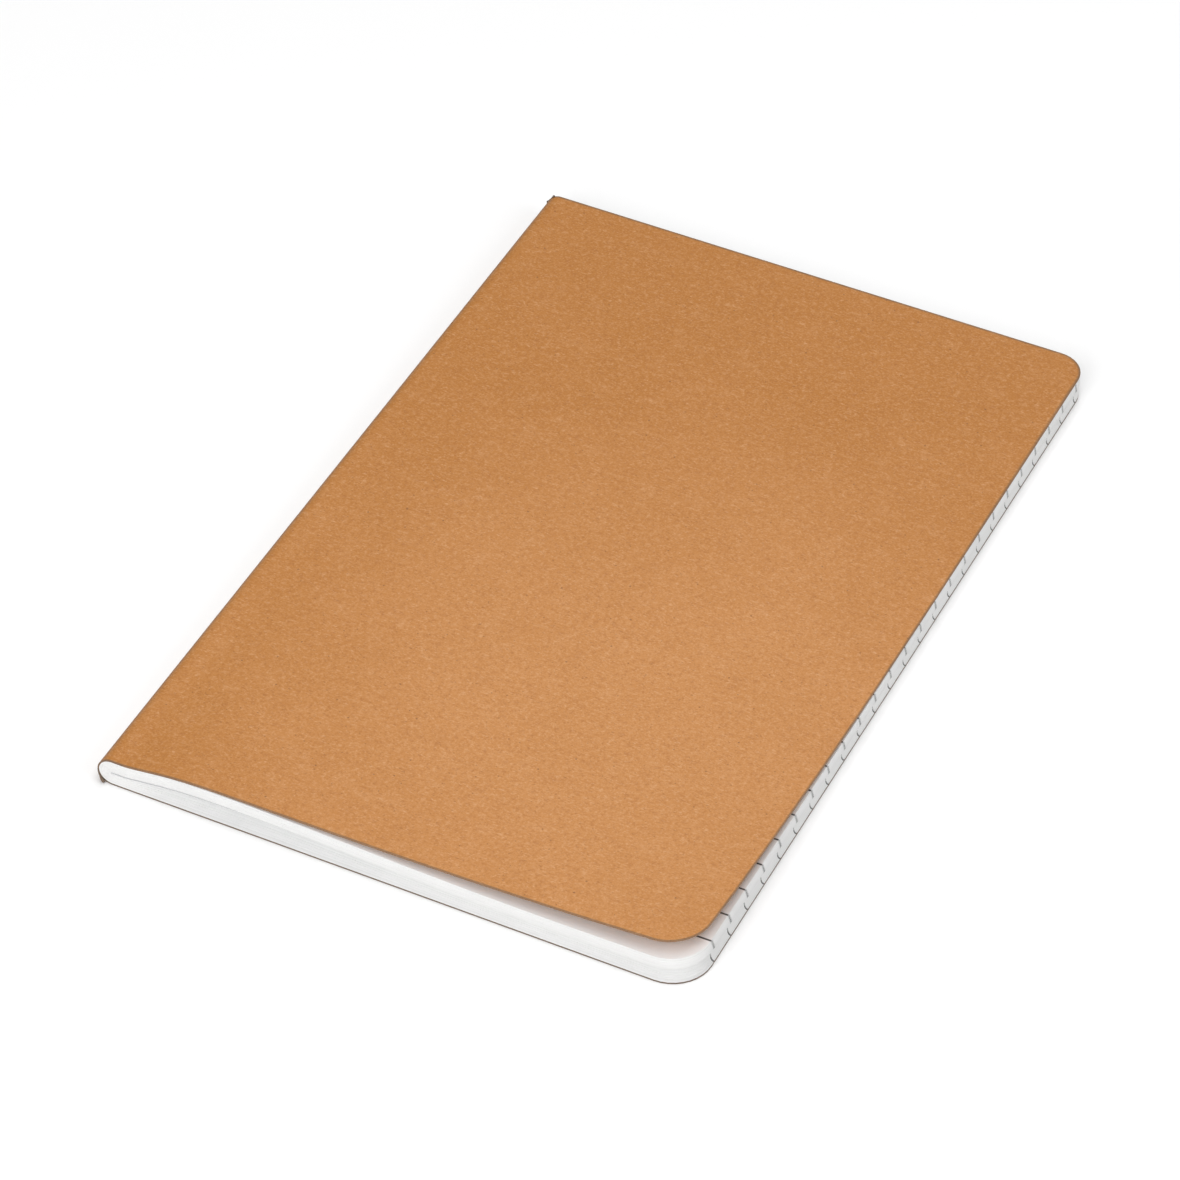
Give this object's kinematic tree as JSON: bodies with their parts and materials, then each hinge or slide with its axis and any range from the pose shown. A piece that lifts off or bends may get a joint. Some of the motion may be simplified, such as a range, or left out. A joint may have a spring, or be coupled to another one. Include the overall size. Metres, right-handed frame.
{
  "type": "pocket notebook",
  "caption": "Thin soft-cover pocket notebook with a folded kraft card cover, ruled leaves sewn through the fold and rounded fore-edge corners.",
  "frame": {"origin": "middle of the back cover's outer face", "axes": "+X from the spine to the fore edge, +Y along the spine away from the lifted corner, +Z from the back cover to the front cover"},
  "size_m": [0.0902, 0.14, 0.0078],
  "materials": {
    "kraft_card": "matt uncoated kraft card with fine fibres",
    "ruled_paper": "matt white writing paper with thin ruled lines",
    "sewing_thread": "matt twisted sewing thread"
  },
  "bodies": {
    "back_panel": {"back_cover": "kraft_card"},
    "spine": {"cover_spine": "kraft_card", "sheet_folds": "ruled_paper", "needle_thread": "sewing_thread", "bobbin_thread": "sewing_thread"},
    "front_panel": {"front_cover": "kraft_card"},
    "front_page_01": {"front_leaf_01": "ruled_paper", "front_cover_strip": "kraft_card"},
    "front_page_02": {"front_leaf_02": "ruled_paper"},
    "front_page_03": {"front_leaf_03": "ruled_paper"},
    "front_page_04": {"front_leaf_04": "ruled_paper"},
    "front_page_05": {"front_leaf_05": "ruled_paper"},
    "front_page_06": {"front_leaf_06": "ruled_paper"},
    "front_page_07": {"front_leaf_07": "ruled_paper"},
    "front_page_08": {"front_leaf_08": "ruled_paper"},
    "front_page_09": {"front_leaf_09": "ruled_paper"},
    "front_page_10": {"front_leaf_10": "ruled_paper"},
    "front_page_11": {"front_leaf_11": "ruled_paper"},
    "front_page_12": {"front_leaf_12": "ruled_paper"},
    "front_page_13": {"front_leaf_13": "ruled_paper"},
    "front_page_14": {"front_leaf_14": "ruled_paper"},
    "front_page_15": {"front_leaf_15": "ruled_paper"},
    "front_page_16": {"front_leaf_16": "ruled_paper"},
    "front_page_17": {"front_leaf_17": "ruled_paper"},
    "front_page_18": {"front_leaf_18": "ruled_paper"},
    "front_page_19": {"front_leaf_19": "ruled_paper"},
    "front_page_20": {"front_leaf_20": "ruled_paper"},
    "back_page_01": {"back_leaf_01": "ruled_paper"},
    "back_page_02": {"back_leaf_02": "ruled_paper"},
    "back_page_03": {"back_leaf_03": "ruled_paper"},
    "back_page_04": {"back_leaf_04": "ruled_paper"},
    "back_page_05": {"back_leaf_05": "ruled_paper"},
    "back_page_06": {"back_leaf_06": "ruled_paper"},
    "back_page_07": {"back_leaf_07": "ruled_paper"},
    "back_page_08": {"back_leaf_08": "ruled_paper"},
    "back_page_09": {"back_leaf_09": "ruled_paper"},
    "back_page_10": {"back_leaf_10": "ruled_paper"},
    "back_page_11": {"back_leaf_11": "ruled_paper"},
    "back_page_12": {"back_leaf_12": "ruled_paper"},
    "back_page_13": {"back_leaf_13": "ruled_paper"},
    "back_page_14": {"back_leaf_14": "ruled_paper"},
    "back_page_15": {"back_leaf_15": "ruled_paper"},
    "back_page_16": {"back_leaf_16": "ruled_paper"},
    "back_page_17": {"back_leaf_17": "ruled_paper"},
    "back_page_18": {"back_leaf_18": "ruled_paper"},
    "back_page_19": {"back_leaf_19": "ruled_paper"},
    "back_page_20": {"back_leaf_20": "ruled_paper"}
  },
  "joints": [
    {"name": "book_open", "type": "hinge", "parent": "back_panel", "child": "spine", "pos_m": [-0.04442, 0, 0.00058], "axis": [0, -1, 0], "range_deg": [0, 88], "deforming": ["cover_spine", "sheet_folds"]},
    {"name": "front_page_01_turn", "type": "hinge", "parent": "spine", "child": "front_page_01", "pos_m": [-0.04428, 0, 0.00378], "axis": [0, -1, 0], "range_deg": [0, 88]},
    {"name": "front_page_02_turn", "type": "hinge", "parent": "spine", "child": "front_page_02", "pos_m": [-0.04421, 0, 0.00371], "axis": [0, -1, 0], "range_deg": [0, 88]},
    {"name": "front_page_03_turn", "type": "hinge", "parent": "spine", "child": "front_page_03", "pos_m": [-0.04414, 0, 0.00364], "axis": [0, -1, 0], "range_deg": [0, 88]},
    {"name": "front_page_04_turn", "type": "hinge", "parent": "spine", "child": "front_page_04", "pos_m": [-0.04406, 0, 0.00356], "axis": [0, -1, 0], "range_deg": [0, 88]},
    {"name": "front_page_05_turn", "type": "hinge", "parent": "spine", "child": "front_page_05", "pos_m": [-0.04399, 0, 0.00349], "axis": [0, -1, 0], "range_deg": [0, 88]},
    {"name": "front_page_06_turn", "type": "hinge", "parent": "spine", "child": "front_page_06", "pos_m": [-0.04392, 0, 0.00342], "axis": [0, -1, 0], "range_deg": [0, 88]},
    {"name": "front_page_07_turn", "type": "hinge", "parent": "spine", "child": "front_page_07", "pos_m": [-0.04385, 0, 0.00335], "axis": [0, -1, 0], "range_deg": [0, 88]},
    {"name": "front_page_08_turn", "type": "hinge", "parent": "spine", "child": "front_page_08", "pos_m": [-0.04377, 0, 0.00327], "axis": [0, -1, 0], "range_deg": [0, 88]},
    {"name": "front_page_09_turn", "type": "hinge", "parent": "spine", "child": "front_page_09", "pos_m": [-0.0437, 0, 0.0032], "axis": [0, -1, 0], "range_deg": [0, 88]},
    {"name": "front_page_10_turn", "type": "hinge", "parent": "spine", "child": "front_page_10", "pos_m": [-0.04363, 0, 0.00313], "axis": [0, -1, 0], "range_deg": [0, 88]},
    {"name": "front_page_11_turn", "type": "hinge", "parent": "spine", "child": "front_page_11", "pos_m": [-0.04356, 0, 0.00306], "axis": [0, -1, 0], "range_deg": [0, 88]},
    {"name": "front_page_12_turn", "type": "hinge", "parent": "spine", "child": "front_page_12", "pos_m": [-0.04348, 0, 0.00298], "axis": [0, -1, 0], "range_deg": [0, 88]},
    {"name": "front_page_13_turn", "type": "hinge", "parent": "spine", "child": "front_page_13", "pos_m": [-0.04341, 0, 0.00291], "axis": [0, -1, 0], "range_deg": [0, 88]},
    {"name": "front_page_14_turn", "type": "hinge", "parent": "spine", "child": "front_page_14", "pos_m": [-0.04334, 0, 0.00284], "axis": [0, -1, 0], "range_deg": [0, 88]},
    {"name": "front_page_15_turn", "type": "hinge", "parent": "spine", "child": "front_page_15", "pos_m": [-0.04327, 0, 0.00277], "axis": [0, -1, 0], "range_deg": [0, 88]},
    {"name": "front_page_16_turn", "type": "hinge", "parent": "spine", "child": "front_page_16", "pos_m": [-0.04319, 0, 0.00269], "axis": [0, -1, 0], "range_deg": [0, 88]},
    {"name": "front_page_17_turn", "type": "hinge", "parent": "spine", "child": "front_page_17", "pos_m": [-0.04312, 0, 0.00262], "axis": [0, -1, 0], "range_deg": [0, 88]},
    {"name": "front_page_18_turn", "type": "hinge", "parent": "spine", "child": "front_page_18", "pos_m": [-0.04305, 0, 0.00255], "axis": [0, -1, 0], "range_deg": [0, 88]},
    {"name": "front_page_19_turn", "type": "hinge", "parent": "spine", "child": "front_page_19", "pos_m": [-0.04297, 0, 0.00248], "axis": [0, -1, 0], "range_deg": [0, 88]},
    {"name": "front_page_20_turn", "type": "hinge", "parent": "spine", "child": "front_page_20", "pos_m": [-0.0429, 0, 0.0024], "axis": [0, -1, 0], "range_deg": [0, 88]},
    {"name": "back_page_01_turn", "type": "hinge", "parent": "spine", "child": "back_page_01", "pos_m": [-0.04428, 0, 0.00072], "axis": [0, -1, 0], "range_deg": [-88, 0]},
    {"name": "back_page_02_turn", "type": "hinge", "parent": "spine", "child": "back_page_02", "pos_m": [-0.04421, 0, 0.00079], "axis": [0, -1, 0], "range_deg": [-88, 0]},
    {"name": "back_page_03_turn", "type": "hinge", "parent": "spine", "child": "back_page_03", "pos_m": [-0.04414, 0, 0.00086], "axis": [0, -1, 0], "range_deg": [-88, 0]},
    {"name": "back_page_04_turn", "type": "hinge", "parent": "spine", "child": "back_page_04", "pos_m": [-0.04406, 0, 0.00094], "axis": [0, -1, 0], "range_deg": [-88, 0]},
    {"name": "back_page_05_turn", "type": "hinge", "parent": "spine", "child": "back_page_05", "pos_m": [-0.04399, 0, 0.00101], "axis": [0, -1, 0], "range_deg": [-88, 0]},
    {"name": "back_page_06_turn", "type": "hinge", "parent": "spine", "child": "back_page_06", "pos_m": [-0.04392, 0, 0.00108], "axis": [0, -1, 0], "range_deg": [-88, 0]},
    {"name": "back_page_07_turn", "type": "hinge", "parent": "spine", "child": "back_page_07", "pos_m": [-0.04385, 0, 0.00115], "axis": [0, -1, 0], "range_deg": [-88, 0]},
    {"name": "back_page_08_turn", "type": "hinge", "parent": "spine", "child": "back_page_08", "pos_m": [-0.04377, 0, 0.00123], "axis": [0, -1, 0], "range_deg": [-88, 0]},
    {"name": "back_page_09_turn", "type": "hinge", "parent": "spine", "child": "back_page_09", "pos_m": [-0.0437, 0, 0.0013], "axis": [0, -1, 0], "range_deg": [-88, 0]},
    {"name": "back_page_10_turn", "type": "hinge", "parent": "spine", "child": "back_page_10", "pos_m": [-0.04363, 0, 0.00137], "axis": [0, -1, 0], "range_deg": [-88, 0]},
    {"name": "back_page_11_turn", "type": "hinge", "parent": "spine", "child": "back_page_11", "pos_m": [-0.04356, 0, 0.00144], "axis": [0, -1, 0], "range_deg": [-88, 0]},
    {"name": "back_page_12_turn", "type": "hinge", "parent": "spine", "child": "back_page_12", "pos_m": [-0.04348, 0, 0.00152], "axis": [0, -1, 0], "range_deg": [-88, 0]},
    {"name": "back_page_13_turn", "type": "hinge", "parent": "spine", "child": "back_page_13", "pos_m": [-0.04341, 0, 0.00159], "axis": [0, -1, 0], "range_deg": [-88, 0]},
    {"name": "back_page_14_turn", "type": "hinge", "parent": "spine", "child": "back_page_14", "pos_m": [-0.04334, 0, 0.00166], "axis": [0, -1, 0], "range_deg": [-88, 0]},
    {"name": "back_page_15_turn", "type": "hinge", "parent": "spine", "child": "back_page_15", "pos_m": [-0.04327, 0, 0.00173], "axis": [0, -1, 0], "range_deg": [-88, 0]},
    {"name": "back_page_16_turn", "type": "hinge", "parent": "spine", "child": "back_page_16", "pos_m": [-0.04319, 0, 0.00181], "axis": [0, -1, 0], "range_deg": [-88, 0]},
    {"name": "back_page_17_turn", "type": "hinge", "parent": "spine", "child": "back_page_17", "pos_m": [-0.04312, 0, 0.00188], "axis": [0, -1, 0], "range_deg": [-88, 0]},
    {"name": "back_page_18_turn", "type": "hinge", "parent": "spine", "child": "back_page_18", "pos_m": [-0.04305, 0, 0.00195], "axis": [0, -1, 0], "range_deg": [-88, 0]},
    {"name": "back_page_19_turn", "type": "hinge", "parent": "spine", "child": "back_page_19", "pos_m": [-0.04297, 0, 0.00202], "axis": [0, -1, 0], "range_deg": [-88, 0]},
    {"name": "back_page_20_turn", "type": "hinge", "parent": "spine", "child": "back_page_20", "pos_m": [-0.0429, 0, 0.0021], "axis": [0, -1, 0], "range_deg": [-88, 0]},
    {"name": "front_cover_open", "type": "hinge", "parent": "front_page_01", "child": "front_panel", "pos_m": [-0.041, 0, 0.00465], "axis": [0, -1, 0], "range_deg": [0, 174]}
  ],
  "couplings": [
    {"joint": "front_page_01_turn", "follows": "book_open", "ratio": 1},
    {"joint": "front_page_02_turn", "follows": "book_open", "ratio": 0.99526},
    {"joint": "front_page_03_turn", "follows": "book_open", "ratio": 0.99053},
    {"joint": "front_page_04_turn", "follows": "book_open", "ratio": 0.98579},
    {"joint": "front_page_05_turn", "follows": "book_open", "ratio": 0.98105},
    {"joint": "front_page_06_turn", "follows": "book_open", "ratio": 0.97632},
    {"joint": "front_page_07_turn", "follows": "book_open", "ratio": 0.97158},
    {"joint": "front_page_08_turn", "follows": "book_open", "ratio": 0.96684},
    {"joint": "front_page_09_turn", "follows": "book_open", "ratio": 0.96211},
    {"joint": "front_page_10_turn", "follows": "book_open", "ratio": 0.95737},
    {"joint": "front_page_11_turn", "follows": "book_open", "ratio": 0.95263},
    {"joint": "front_page_12_turn", "follows": "book_open", "ratio": 0.94789},
    {"joint": "front_page_13_turn", "follows": "book_open", "ratio": 0.94316},
    {"joint": "front_page_14_turn", "follows": "book_open", "ratio": 0.93842},
    {"joint": "front_page_15_turn", "follows": "book_open", "ratio": 0.93368},
    {"joint": "front_page_16_turn", "follows": "book_open", "ratio": 0.92895},
    {"joint": "front_page_17_turn", "follows": "book_open", "ratio": 0.92421},
    {"joint": "front_page_18_turn", "follows": "book_open", "ratio": 0.91947},
    {"joint": "front_page_19_turn", "follows": "book_open", "ratio": 0.91474},
    {"joint": "front_page_20_turn", "follows": "book_open", "ratio": 0.91},
    {"joint": "back_page_01_turn", "follows": "book_open", "ratio": -1},
    {"joint": "back_page_02_turn", "follows": "book_open", "ratio": -0.99526},
    {"joint": "back_page_03_turn", "follows": "book_open", "ratio": -0.99053},
    {"joint": "back_page_04_turn", "follows": "book_open", "ratio": -0.98579},
    {"joint": "back_page_05_turn", "follows": "book_open", "ratio": -0.98105},
    {"joint": "back_page_06_turn", "follows": "book_open", "ratio": -0.97632},
    {"joint": "back_page_07_turn", "follows": "book_open", "ratio": -0.97158},
    {"joint": "back_page_08_turn", "follows": "book_open", "ratio": -0.96684},
    {"joint": "back_page_09_turn", "follows": "book_open", "ratio": -0.96211},
    {"joint": "back_page_10_turn", "follows": "book_open", "ratio": -0.95737},
    {"joint": "back_page_11_turn", "follows": "book_open", "ratio": -0.95263},
    {"joint": "back_page_12_turn", "follows": "book_open", "ratio": -0.94789},
    {"joint": "back_page_13_turn", "follows": "book_open", "ratio": -0.94316},
    {"joint": "back_page_14_turn", "follows": "book_open", "ratio": -0.93842},
    {"joint": "back_page_15_turn", "follows": "book_open", "ratio": -0.93368},
    {"joint": "back_page_16_turn", "follows": "book_open", "ratio": -0.92895},
    {"joint": "back_page_17_turn", "follows": "book_open", "ratio": -0.92421},
    {"joint": "back_page_18_turn", "follows": "book_open", "ratio": -0.91947},
    {"joint": "back_page_19_turn", "follows": "book_open", "ratio": -0.91474},
    {"joint": "back_page_20_turn", "follows": "book_open", "ratio": -0.91}
  ]
}
